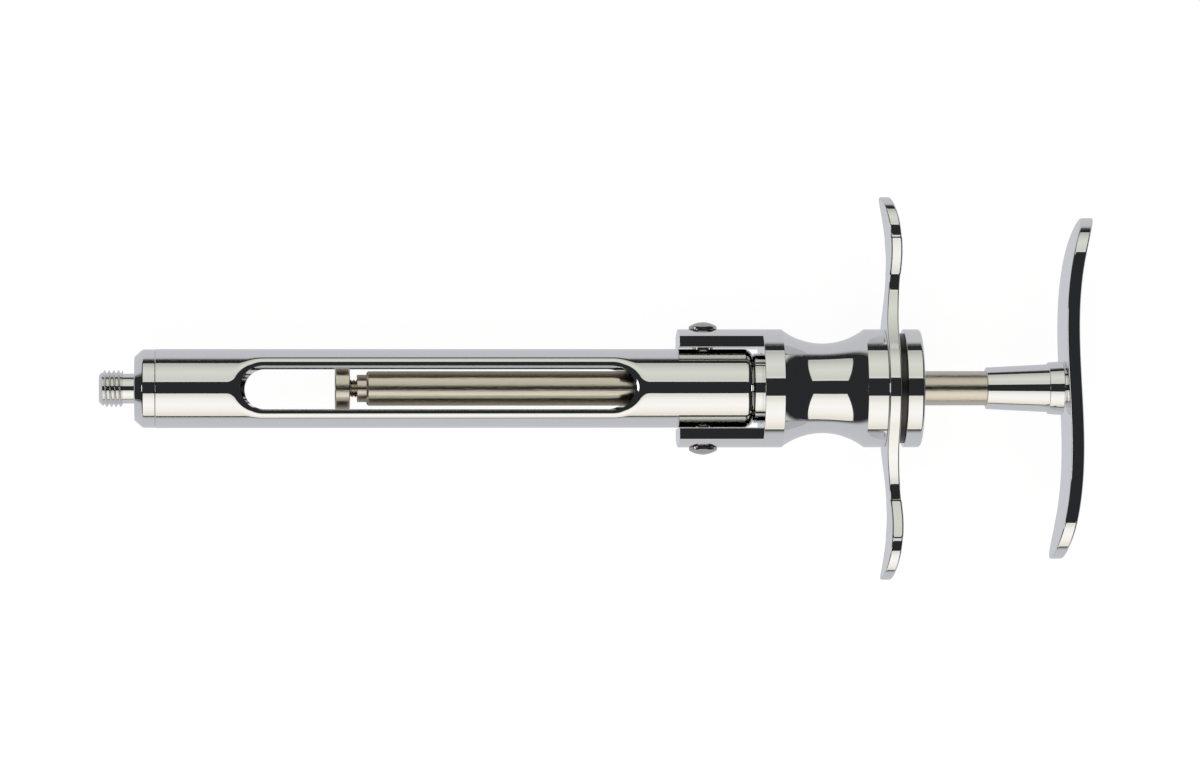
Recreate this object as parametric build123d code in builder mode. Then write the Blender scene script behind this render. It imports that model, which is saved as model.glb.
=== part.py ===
from build123d import *
import os

# Dental aspirating syringe, breech loading. Millimetres, axis along X, needle end towards -X,
# wings of the finger rest along Y, the wide loading window up, towards +Z.
# The origin lies on the axis at the inner end of the needle thread.

# Needle adaptor
thread_radius = 3.0
thread_length = 3.9
thread_lead_in = 0.8
neck_radius = 2.44
neck_length = 1.86
cap_radius = 6.38
cap_length = 3.37
cap_bevel_length = 1.36
cap_bevel_depth = 1.19
cap_rear_rounding = 0.15
needle_bore_radius = 1.0
needle_bore_taper = 0.35
cartridge_cup_radius = 3.9
cartridge_cup_depth = 3.4
adaptor_spigot_length = 5.6

# Barrel
barrel_radius = 6.43
barrel_bore_radius = 4.65
barrel_length = 97.53
nose_bore_radius = 5.0
nose_bore_margin = 0.4
front_window_length = 64.1
front_window_half_width = 3.75
rear_window_length = 62.8
rear_window_half_width = 3.27
window_centre_from_front = 45.9
window_edge_rounding = 0.8
barrel_front_rounding = 0.12
barrel_rear_rounding = 1.5

# Hinge body: fork, waist and rims
hub_radius = 9.66
fork_length = 13.7
fork_base_gap = 1.35
ear_half_width = 4.72
ear_flat_from_axis = 6.53
hub_front_rim = 3.25
waist_length = 13.58
waist_radius = 7.34
hub_rear_rim = 3.32
hub_bore_radius = 5.8
rim_rounding = 0.15

# Pivot screws
pivot_from_fork_base = 9.55
screw_shank_radius = 1.7
screw_head_radius = 2.3
screw_head_rim = 0.45
screw_head_crown = 0.75
screw_crown_shoulder = (0.55, 0.72)
screw_slot_width = 0.8
screw_slot_depth = 0.7
screw_tip_clearance = 0.25

# Lock sleeve and its spring
lock_spigot_length = 2.0
lock_spigot_play = 0.05
lock_flange_radius = 5.7
lock_flange_length = 3.5
lock_tube_radius = 3.6
lock_tube_length = 7.5
spring_wire_radius = 0.4
spring_wire_sides = 8
spring_radius = 4.7
spring_turns = 6
spring_end_gap = 0.1

# Plunger
rod_radius = 2.82
rod_play = 0.07
rod_collar_radius = 2.23
rod_collar_length = 1.55
rod_bevel = 0.3
disc_radius = 3.36
disc_length = 2.43
disc_rounding = 0.2
stud_radius = 1.48
stud_neck_length = 1.15
stud_length = 6.0
disc_front_from_barrel_front = 29.2

# End nut with its bush and seal
nut_length = 2.8
nut_rounding = 0.5
nut_thread_radius = 6.6
nut_thread_length = 4.9
bush_radius = 3.85
bush_length = 8.0
bush_bevel = 0.2
seal_wire_radius = 0.5
seal_wire_sides = 8
seal_play = 0.05
shoulder_play = 0.12

# Finger rest and its washer
finger_rest_hub_thickness = 2.0
finger_rest_wing_thickness = 1.8
finger_rest_disc_radius = 10.3
finger_rest_disc_end = 52
finger_rest_disc_flat = 9.0
finger_rest_half_span = 31.35
finger_lobe_radius = 5.4
finger_lobe_start = 100
finger_waist_from_axis = 16.7
finger_waist_half_width = 3.35
finger_waist_rise = 0.45
finger_crest_from_axis = 22.2
finger_crest_rise = 0.78
finger_tip_drop = 0.85
finger_tip_slope = -0.42
finger_edge_bevel = 0.25
washer_radius = 9.0
washer_thickness = 1.1

# Socket and thumb rest
socket_gap_to_nut = 10.85
socket_length = 10.2
socket_front_radius = 3.41
socket_rear_radius = 3.93
socket_front_bevel = 0.15
socket_floor = 2.2
boss_length = 2.45
boss_front_radius = 4.23
boss_rear_radius = 4.43
rivet_neck_length = 0.35
rivet_neck_radius = 3.2
rivet_radius = 2.2
thumb_rest_span = 55.9
thumb_rest_width = 13.4
thumb_rest_thickness = 2.15
thumb_bend_reach = 30.75
thumb_bend_end = 3.83
thumb_bend_knee = 5.84
thumb_edge_bevel = 0.25

# Fits between pieces that stay together
seat_play = 0.02
thread_play = 0.03

# Stations along the axis, each from the one before it
cap_front = neck_length
barrel_front = cap_front + cap_length
barrel_rear = barrel_front + barrel_length
fork_base = barrel_rear + fork_base_gap
waist_front = fork_base + hub_front_rim
waist_rear = waist_front + waist_length
hub_rear = waist_rear + hub_rear_rim
pivot_station = fork_base - pivot_from_fork_base
finger_rest_rear = hub_rear + finger_rest_hub_thickness
nut_front = finger_rest_rear + washer_thickness
nut_rear = nut_front + nut_length
spigot_front = barrel_rear - lock_spigot_length
flange_front = barrel_rear
flange_rear = flange_front + lock_flange_length
nut_spigot_front = hub_rear - nut_thread_length
disc_front = barrel_front + disc_front_from_barrel_front
disc_rear = disc_front + disc_length
rod_front = disc_rear + stud_neck_length
rod_shoulder = rod_front + rod_collar_length
socket_front = nut_rear + socket_gap_to_nut
socket_rear = socket_front + socket_length
boss_rear = socket_rear + boss_length
rod_rear = socket_rear - socket_floor
thumb_rest_front = boss_rear + rivet_neck_length
thumb_rest_middle = thumb_rest_front + thumb_rest_thickness / 2
bush_front = nut_rear - bush_length
seal_seat = bush_front - 2 * (seal_wire_radius + seal_play)
rod_bore_radius = rod_radius + rod_play

os.makedirs("parts", exist_ok=True)


def write(piece, label):
    """Labels a finished piece and writes it to its own STEP file."""
    piece.part.label = label
    export_step(piece.part, f"parts/{label}.step")


# The needle adaptor: a turned nose cap with a spigot that screws into the barrel. Its thread
# takes the needle hub, and the cup behind it centres the cartridge's cap.
with BuildPart() as needle_adaptor:
    with BuildSketch(Plane.XY):
        with BuildLine():
            Polyline(
                (-thread_length, 0),
                (-thread_length, thread_radius - thread_lead_in),
                (-thread_length + thread_lead_in, thread_radius),
                (0, thread_radius),
                (0, neck_radius),
                (cap_front, neck_radius),
                (cap_front, cap_radius - cap_bevel_depth),
                (cap_front + cap_bevel_length, cap_radius),
                (barrel_front - cap_rear_rounding, cap_radius),
                (barrel_front, cap_radius - cap_rear_rounding),
                (barrel_front, nose_bore_radius - thread_play),
                (barrel_front + adaptor_spigot_length, nose_bore_radius - thread_play),
                (barrel_front + adaptor_spigot_length, 0),
                close=True,
            )
        make_face()
    revolve(axis=Axis.X)
    with Locations(Plane.YZ.offset(barrel_front + adaptor_spigot_length)):
        Hole(cartridge_cup_radius, cartridge_cup_depth)
    with BuildSketch(Plane.YZ.offset(-thread_length)):
        Circle(needle_bore_radius + needle_bore_taper)
    with BuildSketch(Plane.YZ.offset(-thread_length + needle_bore_taper)):
        Circle(needle_bore_radius)
    loft(mode=Mode.SUBTRACT)
    with BuildSketch(Plane.YZ.offset(-thread_length)):
        Circle(needle_bore_radius)
    extrude(amount=thread_length + barrel_front + adaptor_spigot_length, mode=Mode.SUBTRACT)
write(needle_adaptor, "needle_adaptor")

# The barrel: a tube with the wide window in front and the narrower one behind, counterbored for
# the adaptor, with two cross holes for the pivot screws.
with BuildPart() as barrel:
    with BuildSketch(Plane.YZ.offset(barrel_front)):
        Circle(barrel_radius)
        Circle(barrel_bore_radius, mode=Mode.SUBTRACT)
    extrude(amount=barrel_length)
    with BuildSketch(Plane.YZ.offset(barrel_front)):
        Circle(nose_bore_radius)
    extrude(amount=adaptor_spigot_length + nose_bore_margin, mode=Mode.SUBTRACT)
    rims = barrel.edges().filter_by(GeomType.CIRCLE).group_by(SortBy.RADIUS)[-1].sort_by(Axis.X)
    fillet(rims[-1], barrel_rear_rounding)
    fillet(rims[0], barrel_front_rounding)
    window_centre = barrel_front + window_centre_from_front
    for side, length, half_width in (
        (1, front_window_length, front_window_half_width),
        (-1, rear_window_length, rear_window_half_width),
    ):
        with BuildSketch(Plane.XY):
            with Locations((window_centre, 0)):
                SlotOverall(length, 2 * half_width)
        extrude(amount=side * 2 * barrel_radius, mode=Mode.SUBTRACT)
        window_edges = barrel.edges(Select.LAST).filter_by(
            lambda edge: abs(Vector(0, (edge @ 0.3).Y, (edge @ 0.3).Z).length - barrel_radius) < 0.01
        )
        fillet(window_edges, window_edge_rounding)
    with BuildSketch(Plane.XZ):
        with Locations((pivot_station, 0)):
            Circle(screw_shank_radius + thread_play)
    extrude(amount=2 * barrel_radius, both=True, mode=Mode.SUBTRACT)
write(barrel, "barrel")

# The hinge body: a hub turned with a waist and two rims, and a fork whose flat-sided ears hold
# the barrel between them on the pivot screws.
with BuildPart() as hinge_body:
    with BuildSketch(Plane.XY):
        with BuildLine():
            Polyline(
                (waist_front, hub_radius),
                (fork_base, hub_radius),
                (fork_base, hub_bore_radius),
                (nut_spigot_front, hub_bore_radius),
                (nut_spigot_front, nut_thread_radius),
                (hub_rear, nut_thread_radius),
                (hub_rear, hub_radius),
                (waist_rear, hub_radius),
            )
            ThreePointArc(
                (waist_rear, hub_radius),
                ((waist_front + waist_rear) / 2, waist_radius),
                (waist_front, hub_radius),
            )
        make_face()
    revolve(axis=Axis.X)
    fillet(
        hinge_body.edges()
        .filter_by(GeomType.CIRCLE)
        .filter_by(lambda edge: abs(edge.radius - hub_radius) < 0.01)
        .sort_by(Axis.X)[1:],
        rim_rounding,
    )
    with BuildSketch(Plane.YZ.offset(fork_base)):
        Circle(hub_radius)
        Rectangle(2 * hub_radius, 2 * ear_half_width, mode=Mode.INTERSECT)
        Rectangle(2 * ear_flat_from_axis, 2 * hub_radius, mode=Mode.SUBTRACT)
    extrude(amount=-fork_length)
    with BuildSketch(Plane.XZ):
        with Locations((pivot_station, 0)):
            Circle(screw_shank_radius + seat_play)
    extrude(amount=2 * hub_radius, both=True, mode=Mode.SUBTRACT)
write(hinge_body, "hinge_body")

# The pivot screws: raised, slotted heads outside the ears, their tips in the barrel's wall.
for label, side in (("pivot_screw_left", 1), ("pivot_screw_right", -1)):
    with BuildPart() as pivot_screw:
        with BuildSketch(Plane.XY):
            with BuildLine():
                tip = barrel_bore_radius + screw_tip_clearance
                rim = hub_radius + screw_head_rim
                crown = rim + screw_head_crown
                Polyline(
                    (0, crown),
                    (0, tip),
                    (screw_shank_radius, tip),
                    (screw_shank_radius, hub_radius),
                    (screw_head_radius, hub_radius),
                    (screw_head_radius, rim),
                )
                ThreePointArc(
                    (screw_head_radius, rim),
                    (
                        screw_head_radius * screw_crown_shoulder[0],
                        rim + screw_head_crown * screw_crown_shoulder[1],
                    ),
                    (0, crown),
                )
            make_face()
        revolve(axis=Axis.Y)
        with BuildSketch(Plane.XZ.offset(-crown)):
            Rectangle(3 * screw_head_radius, screw_slot_width)
        extrude(amount=screw_slot_depth, mode=Mode.SUBTRACT)
    pivot_screw.part.move(Location((pivot_station, 0, 0), (0, 0, 90 - 90 * side)))
    write(pivot_screw, label)

# The lock sleeve: its spigot enters the barrel's bore and holds the barrel in line, its flange
# slides in the hub, and its tube guides the spring. Drawn back, it lets the barrel swing open.
with BuildPart() as lock_sleeve:
    with BuildSketch(Plane.YZ.offset(spigot_front)):
        Circle(barrel_bore_radius - lock_spigot_play)
    extrude(amount=lock_spigot_length)
    with BuildSketch(Plane.YZ.offset(flange_front)):
        Circle(lock_flange_radius)
    extrude(amount=lock_flange_length)
    with BuildSketch(Plane.YZ.offset(flange_rear)):
        Circle(lock_tube_radius)
    extrude(amount=lock_tube_length)
    with Locations(Plane.YZ.offset(flange_rear + lock_tube_length)):
        Hole(rod_bore_radius)
write(lock_sleeve, "lock_sleeve")

# The lock spring: wire wound in a helix between the sleeve's flange and the nut's spigot. The
# round wire is drawn with flat sides, which keeps its mesh light.
spring_front = flange_rear + spring_end_gap + spring_wire_radius
spring_length = nut_spigot_front - spring_end_gap - spring_wire_radius - spring_front
with BuildPart() as lock_spring:
    with BuildLine() as spring_line:
        Helix(
            pitch=spring_length / spring_turns,
            height=spring_length,
            radius=spring_radius,
            center=(spring_front, 0, 0),
            direction=(1, 0, 0),
        )
    with BuildSketch(Plane(origin=spring_line.line @ 0, z_dir=spring_line.line % 0)):
        RegularPolygon(spring_wire_radius, spring_wire_sides)
    sweep(is_frenet=True)
write(lock_spring, "lock_spring")

# The end nut: a round nut whose threaded spigot passes through the finger rest into the hub.
# It is bored for the seal and the guide bush.
with BuildPart() as end_nut:
    with BuildSketch(Plane.YZ.offset(nut_spigot_front)):
        Circle(nut_thread_radius - thread_play)
    extrude(amount=nut_front - nut_spigot_front)
    with BuildSketch(Plane.YZ.offset(nut_front)):
        Circle(hub_radius)
    extrude(amount=nut_length)
    nut_rims = end_nut.edges().filter_by(GeomType.CIRCLE).group_by(SortBy.RADIUS)[-1]
    fillet(nut_rims.sort_by(Axis.X)[-1], nut_rounding)
    with Locations(Plane.YZ.offset(nut_rear)):
        CounterBoreHole(rod_radius + shoulder_play, bush_radius + seat_play, nut_rear - seal_seat)
write(end_nut, "end_nut")

# The guide bush: a plain bearing pressed into the end nut.
with BuildPart() as guide_bush:
    with BuildSketch(Plane.YZ.offset(bush_front)):
        Circle(bush_radius)
        Circle(rod_bore_radius, mode=Mode.SUBTRACT)
    extrude(amount=bush_length)
    chamfer(guide_bush.edges().sort_by(Axis.X)[-1], bush_bevel)
write(guide_bush, "guide_bush")

# The rod seal: a rubber ring behind the bush that drags on the rod, drawn with flat sides too.
seal_middle = bush_front - seal_wire_radius - seal_play
seal_ring_radius = rod_radius + seat_play + seal_wire_radius
with BuildPart() as rod_seal:
    with BuildSketch(Plane.XY):
        with Locations((seal_middle, seal_ring_radius)):
            RegularPolygon(
                seal_wire_radius, seal_wire_sides, major_radius=False, rotation=180 / seal_wire_sides
            )
    revolve(axis=Axis.X)
write(rod_seal, "rod_seal")

# The finger rest: a plate pressed to a shallow double bend, cut to a disc with a wing on each
# side. The bend is drawn from the side and the outline along the axis.
wing_middle = hub_rear + finger_rest_hub_thickness / 2
half_wing = finger_rest_wing_thickness / 2
with BuildPart() as finger_rest:
    with BuildSketch(Plane.XY.offset(-2 * finger_rest_disc_radius)):
        with BuildLine():
            sides = []
            for side in (-1, 1):
                hub_edge = (wing_middle + side * finger_rest_hub_thickness / 2, finger_rest_disc_flat)
                bend = Spline(
                    hub_edge,
                    (wing_middle + finger_waist_rise + side * half_wing, finger_waist_from_axis),
                    (wing_middle + finger_crest_rise + side * half_wing, finger_crest_from_axis),
                    (wing_middle - finger_tip_drop + side * half_wing, finger_rest_half_span),
                    tangents=((0, 1), (finger_tip_slope, 1)),
                )
                Line((hub_edge[0], 0), hub_edge)
                sides.append(bend)
            Line(sides[0] @ 1, sides[1] @ 1)
            Line((hub_rear, 0), (finger_rest_rear, 0))
        make_face()
        mirror(about=Plane.XZ)
    extrude(amount=4 * finger_rest_disc_radius)
    lobe_centre = finger_rest_half_span - finger_lobe_radius
    with BuildSketch(Plane.YZ):
        with BuildLine():
            disc_arc = CenterArc((0, 0), finger_rest_disc_radius, 90, finger_rest_disc_end - 90)
            lobe_arc = CenterArc(
                (lobe_centre, 0), finger_lobe_radius, finger_lobe_start, -finger_lobe_start
            )
            Spline(
                disc_arc @ 1,
                (finger_waist_from_axis, finger_waist_half_width),
                lobe_arc @ 0,
                tangents=(disc_arc % 1, lobe_arc % 0),
            )
            Line((finger_rest_half_span, 0), (0, 0))
            Line((0, 0), (0, finger_rest_disc_radius))
        make_face()
        mirror(about=Plane.YZ)
        mirror(about=Plane.XZ)
    extrude(amount=nut_rear, mode=Mode.INTERSECT)
    chamfer(finger_rest.edges().filter_by(GeomType.LINE, reverse=True), finger_edge_bevel)
    with Locations(Plane.YZ.offset(finger_rest_rear)):
        Hole(nut_thread_radius + seat_play)
write(finger_rest, "finger_rest")

# The washer between the finger rest and the end nut.
with BuildPart() as finger_rest_washer:
    with BuildSketch(Plane.YZ.offset(finger_rest_rear)):
        Circle(washer_radius)
        Circle(nut_thread_radius + seat_play, mode=Mode.SUBTRACT)
    extrude(amount=washer_thickness)
write(finger_rest_washer, "finger_rest_washer")

# The plunger rod: turned down at its front and tapped for the tip's stud.
with BuildPart() as plunger_rod:
    with BuildSketch(Plane.YZ.offset(rod_front)):
        Circle(rod_collar_radius)
    extrude(amount=rod_collar_length)
    with BuildSketch(Plane.YZ.offset(rod_shoulder)):
        Circle(rod_radius)
    extrude(amount=rod_rear - rod_shoulder)
    rod_rims = plunger_rod.edges().filter_by(GeomType.CIRCLE).group_by(SortBy.RADIUS)[-1]
    chamfer(rod_rims, rod_bevel)
    with Locations(-Plane.YZ.offset(rod_front)):
        Hole(stud_radius + thread_play, stud_length + rod_bevel)
write(plunger_rod, "plunger_rod")

# The piston tip: a disc with a stud that screws into the rod.
with BuildPart() as piston_tip:
    with BuildSketch(Plane.YZ.offset(disc_front)):
        Circle(disc_radius)
    extrude(amount=disc_length)
    fillet(piston_tip.edges().filter_by(GeomType.CIRCLE), disc_rounding)
    with BuildSketch(Plane.YZ.offset(disc_rear)):
        Circle(stud_radius)
    extrude(amount=stud_neck_length + stud_length)
write(piston_tip, "piston_tip")

# The rod socket: a slightly conical sleeve over the rod's end, a flared ring, and a rivet end
# that passes through the thumb rest.
with BuildPart() as rod_socket:
    with BuildSketch(Plane.XY):
        with BuildLine():
            Polyline(
                (socket_front, 0),
                (socket_front, socket_front_radius - socket_front_bevel),
                (socket_front + socket_front_bevel, socket_front_radius),
                (socket_rear, socket_rear_radius),
                (socket_rear, boss_front_radius),
                (boss_rear, boss_rear_radius),
                (boss_rear, rivet_neck_radius),
                (thumb_rest_front, rivet_neck_radius),
                (thumb_rest_front, rivet_radius),
                (thumb_rest_front + thumb_rest_thickness, rivet_radius),
                (thumb_rest_front + thumb_rest_thickness, 0),
                close=True,
            )
        make_face()
    revolve(axis=Axis.X)
    with Locations(-Plane.YZ.offset(socket_front)):
        Hole(rod_radius + seat_play, rod_rear - socket_front + seat_play)
write(rod_socket, "rod_socket")

# The thumb rest: a plate with round ends, bent to an S so that one end leans towards the
# needle and the other away from it.
with BuildPart() as thumb_rest:
    with BuildSketch(Plane.XY.offset(-thumb_rest_width)):
        with BuildLine():
            faces = []
            for side in (-1, 1):
                face = thumb_rest_middle + side * thumb_rest_thickness / 2
                faces.append(
                    Bezier(
                        (face - thumb_bend_end, -thumb_bend_reach),
                        (face + thumb_bend_knee, -thumb_bend_reach / 3),
                        (face - thumb_bend_knee, thumb_bend_reach / 3),
                        (face + thumb_bend_end, thumb_bend_reach),
                    )
                )
            Line(faces[0] @ 0, faces[1] @ 0)
            Line(faces[0] @ 1, faces[1] @ 1)
        make_face()
    extrude(amount=2 * thumb_rest_width)
    with BuildSketch(Plane.YZ):
        SlotOverall(thumb_rest_span, thumb_rest_width)
    extrude(amount=thumb_rest_middle + thumb_rest_span, mode=Mode.INTERSECT)
    chamfer(thumb_rest.edges().filter_by(GeomType.LINE, reverse=True), thumb_edge_bevel)
    with BuildSketch(Plane.YZ.offset(boss_rear)):
        Circle(rivet_radius + seat_play)
    extrude(amount=2 * thumb_rest_thickness, mode=Mode.SUBTRACT)
    with BuildSketch(Plane.YZ.offset(boss_rear - thumb_rest_thickness)):
        Circle(rivet_neck_radius + seat_play)
    extrude(amount=thumb_rest_thickness + rivet_neck_length, mode=Mode.SUBTRACT)
write(thumb_rest, "thumb_rest")
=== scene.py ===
import math

import bpy
from mathutils import Matrix, Vector
from mathutils.geometry import delaunay_2d_cdt


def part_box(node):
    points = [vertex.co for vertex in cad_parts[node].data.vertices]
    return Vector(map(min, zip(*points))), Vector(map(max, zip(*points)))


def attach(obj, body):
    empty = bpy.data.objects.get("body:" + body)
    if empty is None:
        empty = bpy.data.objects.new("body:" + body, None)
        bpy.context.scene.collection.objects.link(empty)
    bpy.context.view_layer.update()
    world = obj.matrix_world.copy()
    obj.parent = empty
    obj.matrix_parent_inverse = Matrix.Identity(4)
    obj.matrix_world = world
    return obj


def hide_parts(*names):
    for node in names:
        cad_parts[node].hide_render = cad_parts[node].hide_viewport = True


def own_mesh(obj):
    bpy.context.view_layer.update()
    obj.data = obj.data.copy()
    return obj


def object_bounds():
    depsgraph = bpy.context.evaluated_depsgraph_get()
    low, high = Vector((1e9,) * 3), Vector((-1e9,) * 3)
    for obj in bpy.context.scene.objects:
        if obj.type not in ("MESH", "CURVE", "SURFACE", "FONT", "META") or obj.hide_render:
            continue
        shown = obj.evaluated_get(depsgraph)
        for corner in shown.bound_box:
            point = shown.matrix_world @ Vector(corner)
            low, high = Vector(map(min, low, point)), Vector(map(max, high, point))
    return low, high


bpy.ops.wm.read_factory_settings(use_empty=True)
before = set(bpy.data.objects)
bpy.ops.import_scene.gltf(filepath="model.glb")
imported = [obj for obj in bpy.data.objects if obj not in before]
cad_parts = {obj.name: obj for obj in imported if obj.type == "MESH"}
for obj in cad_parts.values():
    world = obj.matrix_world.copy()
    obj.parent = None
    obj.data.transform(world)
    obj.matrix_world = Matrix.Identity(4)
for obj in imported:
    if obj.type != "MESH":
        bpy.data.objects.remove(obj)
cad_box = [list(corner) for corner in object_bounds()]
MM = 0.001


# Needle adaptor
# The nose cap that screws into the barrel, turned and chrome plated. In front stands the short
# M6 x 0.75 thread that takes the needle's hub, with an undercut neck behind it.


class Skin:
    """Faces gathered corner by corner, each corner with the true normal of the surface there."""

    # Points that fall on the same step of this many to the metre are one point.
    weld_steps = 2e7

    def __init__(self):
        self.points = []
        self.place = {}
        self.faces = []
        self.normals = []

    def face(self, *corners):
        """Adds one face. A corner is a point and a normal."""
        ring = []
        normals = []
        for point, normal in corners:
            key = tuple(round(c * self.weld_steps) for c in point)
            if key not in self.place:
                self.place[key] = len(self.points)
                self.points.append(Vector(point))
            index = self.place[key]
            if index not in ring:
                ring.append(index)
                normals.append(Vector(normal).normalized())
        if len(ring) < 3:
            return
        a, b, c = (self.points[i] for i in (ring[0], ring[1], ring[-1]))
        if (b - a).cross(c - a).dot(sum(normals, Vector())) < 0:
            ring.reverse()
            normals.reverse()
        self.faces.append(ring)
        self.normals.extend(normals)

    def grid(self, rows, closed=False):
        """Adds the faces between rows of corners. Rows are closed where the first and last corner meet."""
        for low, high in zip(rows, rows[1:]):
            last = len(low) if closed else len(low) - 1
            for i in range(last):
                j = (i + 1) % len(low)
                self.face(low[i], low[j], high[j], high[i])

    def build(self, node, material, body):
        """Makes the mesh, puts it in the place of its CAD node and lets it ride on its body."""
        mesh = bpy.data.meshes.new(node + "_skin")
        mesh.from_pydata(self.points, [], self.faces)
        mesh.polygons.foreach_set("use_smooth", [True] * len(mesh.polygons))
        mesh.normals_split_custom_set([tuple(n) for n in self.normals])
        mesh.materials.append(material)
        piece = bpy.data.objects.new(node + "_skin", mesh)
        bpy.context.scene.collection.objects.link(piece)
        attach(piece, body)
        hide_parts(node)
        return piece


def profile(*corners, steps=6, closed=False):
    """Points and normals along an outline drawn with the metal on its right.

    A corner is (x, y, radius), rounded where the radius isn't 0. A radius of None makes it a point of
    a smooth curve.
    """
    straight = 1e-6
    spots = [Vector(corner[:2]) for corner in corners]
    radii = [corner[2] if len(corner) > 2 else 0 for corner in corners]
    count = len(spots)
    path = []

    def across(a, b):
        along = (b - a).normalized()
        return Vector((-along.y, along.x))

    for i, spot in enumerate(spots):
        before = spots[i - 1] if i or closed else None
        after = spots[(i + 1) % count] if i < count - 1 or closed else None
        if before is None:
            path.append((spot, across(spot, after)))
        elif after is None:
            path.append((spot, across(before, spot)))
        elif radii[i] is None:
            path.append((spot, (across(before, spot) + across(spot, after)).normalized()))
        elif not radii[i]:
            path.append((spot, across(before, spot)))
            path.append((spot, across(spot, after)))
        else:
            start, end = across(before, spot), across(spot, after)
            bend = start.angle(end)
            reach = radii[i] * math.tan(bend / 2)
            side = 1 if (spot - before).cross(after - spot) < 0 else -1
            centre = spot + (before - spot).normalized() * reach - start * radii[i] * side
            for k in range(steps + 1):
                normal = start.slerp(end, k / steps) if bend > straight else start
                path.append((centre + normal * radii[i] * side, normal))
    if closed:
        path.append(path[0])
    return path


def turn(skin, path, segments=160):
    """Turns a profile of (x, radius) points round the X axis."""
    rows = []
    for spot, normal in path:
        row = []
        for k in range(segments):
            y, z = math.cos(2 * math.pi * k / segments), math.sin(2 * math.pi * k / segments)
            row.append(((spot.x, spot.y * y, spot.y * z), (normal.x, normal.y * y, normal.y * z)))
        rows.append(row)
    skin.grid(rows, closed=True)


class Wire:
    """A shader socket that sums as a number: each operator adds one Math node."""

    def __init__(self, tree, socket):
        self.tree = tree
        self.socket = socket

    def maths(self, operation, *others):
        """One Math node on this socket and the other values or sockets."""
        return self.tree.node("ShaderNodeMath", {"operation": operation}, dict(enumerate((self, *others))))

    def __add__(self, other):
        return self.maths("ADD", other)

    def __mul__(self, other):
        return self.maths("MULTIPLY", other)

    def __abs__(self):
        return self.maths("ABSOLUTE")

    __radd__ = __add__
    __rmul__ = __mul__


class Tree:
    """The nodes of a material or of the world, and their links."""

    def __init__(self, tree):
        self.nodes = tree.nodes
        self.links = tree.links

    def node(self, kind, settings=None, inputs=None, output=0):
        """Adds a node with its settings, then the values or links of its sockets, and gives one output."""
        made = self.nodes.new(kind)
        for name, value in (settings or {}).items():
            if name == "stops":
                ramp = made.color_ramp.elements
                while len(ramp) < len(value):
                    ramp.new(0.5)
                for stop, (position, colour) in zip(ramp, value):
                    stop.position = position
                    stop.color = colour
            else:
                setattr(made, name, value)
        for name, value in (inputs or {}).items():
            self.plug(made.inputs[name], value)
        return Wire(self, made.outputs[output])

    def plug(self, socket, value):
        """Links a socket, or sets its value."""
        if isinstance(value, Wire):
            self.links.new(value.socket, socket)
        else:
            socket.default_value = value


class Finish(Tree):
    """A material, with its shader ready to be set."""

    def __init__(self, name):
        self.material = bpy.data.materials.new(name)
        self.material.use_nodes = True
        super().__init__(self.material.node_tree)
        self.shader = self.nodes["Principled BSDF"]
        self.output = self.nodes["Material Output"]

    def set(self, **sockets):
        """Sets or links the shader's sockets, named with _ for a space."""
        for name, value in sockets.items():
            self.plug(self.shader.inputs[name.replace("_", " ")], value)

    def place(self, scale):
        """The point on the object, stretched by scale along each axis."""
        spot = self.node("ShaderNodeTexCoord", output="Object")
        return self.node("ShaderNodeMapping", inputs={"Vector": spot, "Scale": scale})

    def mix(self, share, low, high):
        """A colour between two, by a share from 0 to 1."""
        sockets = {0: share, 6: low, 7: high}
        return self.node("ShaderNodeMix", {"data_type": "RGBA"}, sockets, output=2)

    def noise(self, scale, detail=4.0, roughness=0.5):
        """Noise from 0 to 1 on the object, with scale cells to the metre, or one scale for each axis."""
        stretch = scale if isinstance(scale, tuple) else (scale, scale, scale)
        sockets = {"Vector": self.place(stretch), "Scale": 1.0, "Detail": detail, "Roughness": roughness}
        return self.node("ShaderNodeTexNoise", inputs=sockets)


def polished_chrome(name, tint, haze):
    """Polished chrome plate: a mirror with faint polishing waves and a breath of haze in places."""
    finish = Finish(name)
    waves = finish.noise(160, detail=2)
    wipes = finish.noise((900, 2600, 2600), detail=5)
    cloud = finish.noise(70, detail=3)
    height = waves * 0.8 + wipes * 0.05
    bump = {"Height": height, "Strength": 0.06, "Distance": 0.0001}
    finish.set(
        Base_Color=tint,
        Metallic=1.0,
        Roughness=cloud * 0.02 + haze,
        Normal=finish.node("ShaderNodeBump", inputs=bump),
    )
    return finish.material


chrome = polished_chrome("bright_chrome", tint=(0.80, 0.80, 0.79, 1), haze=0.035)

thread_length = 3.9 * MM
thread_radius = 3.0 * MM
thread_pitch = 0.75 * MM
thread_depth = 0.44 * MM
thread_flatness = 0.35
lead_in = 0.8 * MM
bore_radius = 1.0 * MM
bore_bevel = 0.35 * MM
neck_radius = 2.44 * MM
cap_front = 1.86 * MM
cap_bevel_length = 1.36 * MM
cap_bevel_depth = 1.19 * MM
cap_seam = 0.01 * MM
neck_fillet = 0.12 * MM
cap_front_rounding = 0.25 * MM
cap_bevel_rounding = 0.5 * MM
cap_rear_rounding = 0.1 * MM
spigot_edge = 0.2 * MM
barrel_low, barrel_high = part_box("barrel")
barrel_front = barrel_low.x
cap_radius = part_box("needle_adaptor")[1].y
spigot_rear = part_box("needle_adaptor")[1].x
spigot_radius = 4.97 * MM
cup_radius = 3.9 * MM
cup_depth = 3.4 * MM


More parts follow.
